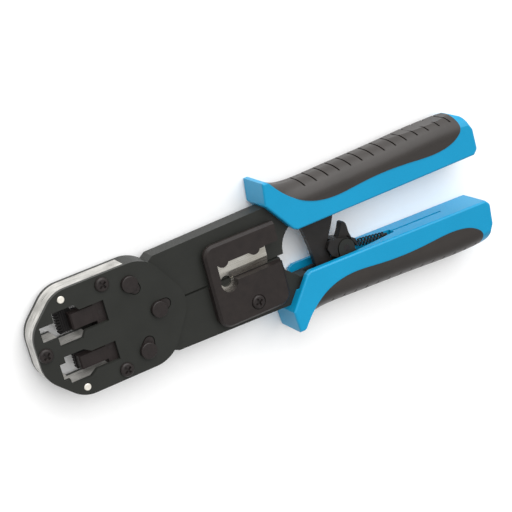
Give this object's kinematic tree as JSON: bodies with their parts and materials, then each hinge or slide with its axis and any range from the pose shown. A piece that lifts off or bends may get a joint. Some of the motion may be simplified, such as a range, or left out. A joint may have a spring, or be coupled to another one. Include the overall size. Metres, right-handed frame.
{
  "type": "modular plug crimping tool",
  "caption": "Compact ratcheting hand crimper for modular phone and network plugs, with wide and narrow plug windows, a cutter and stripper cassette on the neck and two-colour handles.",
  "frame": {"origin": "centre of the back plate's outer face, midway between the two outer pivot pins", "axes": "+X from the head towards the handle ends, +Z out of the front plate that carries the screw heads, +Y towards the fixed upper handle"},
  "size_m": [0.1798, 0.0566, 0.0157],
  "materials": {
    "black_steel": "black oxide on stamped steel, fine satin",
    "nickel_frame": "nickel plate, lengthwise brushed",
    "blue_plastic": "moulded nylon, satin",
    "soft_grip": "soft overmould, matt",
    "black_hardware": "black zinc",
    "bright_steel": "ground hardened pins",
    "dark_punch": "hardened tool steel, oxide black",
    "cassette_black": "glass filled nylon, matt",
    "polished_blade": "ground blade steel",
    "pawl_black": "sintered steel, oxide black",
    "spring_steel": "spring wire"
  },
  "bodies": {
    "frame": {"front_plate": "black_steel", "back_plate": "black_steel", "die_frame": "nickel_frame", "upper_lever": "black_steel", "upper_handle": "blue_plastic", "upper_grip": "soft_grip", "ratchet_sector": "black_steel", "sector_rivets": "black_hardware", "upper_pivot_pin": "black_hardware", "centre_pin": "black_hardware", "lower_pivot_pin": "black_hardware", "retaining_rings": "black_hardware", "head_screws": "black_hardware", "locating_dowels": "bright_steel", "cutter_blade": "polished_blade", "blade_rivets": "polished_blade", "ram_spring": "spring_steel"},
    "lower_lever_body": {"lower_lever": "black_steel", "lower_handle": "blue_plastic", "lower_grip": "soft_grip", "cassette": "cassette_black", "cassette_screw": "black_hardware", "stripping_blade": "polished_blade", "drive_pin": "bright_steel", "pawl_pin": "black_hardware", "spring_anchor_pin": "black_hardware", "pawl_spring": "spring_steel"},
    "ram_body": {"ram": "dark_punch", "wide_punch": "dark_punch", "narrow_punch": "dark_punch", "wide_comb": "dark_punch", "narrow_comb": "dark_punch", "punch_pins": "black_hardware"},
    "pawl_body": {"pawl": "pawl_black"}
  },
  "joints": [
    {"name": "lever_swing", "type": "hinge", "parent": "frame", "child": "lower_lever_body", "pos_m": [0, -0.01225, 0.00525], "axis": [0, 0, -1], "range_deg": [0, 11.5]},
    {"name": "ram_slide", "type": "slide", "parent": "frame", "child": "ram_body", "axis": [1, 0, 0], "range_m": [0, 0.00255], "deforming": ["ram_spring"]},
    {"name": "pawl_turn", "type": "hinge", "parent": "lower_lever_body", "child": "pawl_body", "pos_m": [0.0828, -0.0071, 0.00525], "axis": [0, 0, -1], "range_deg": [0, 25], "stiffness_Nm_per_rad": 0.05, "deforming": ["pawl_spring"]}
  ],
  "couplings": [
    {"joint": "ram_slide", "follows": "lever_swing", "m_per_rad": 0.01272}
  ]
}
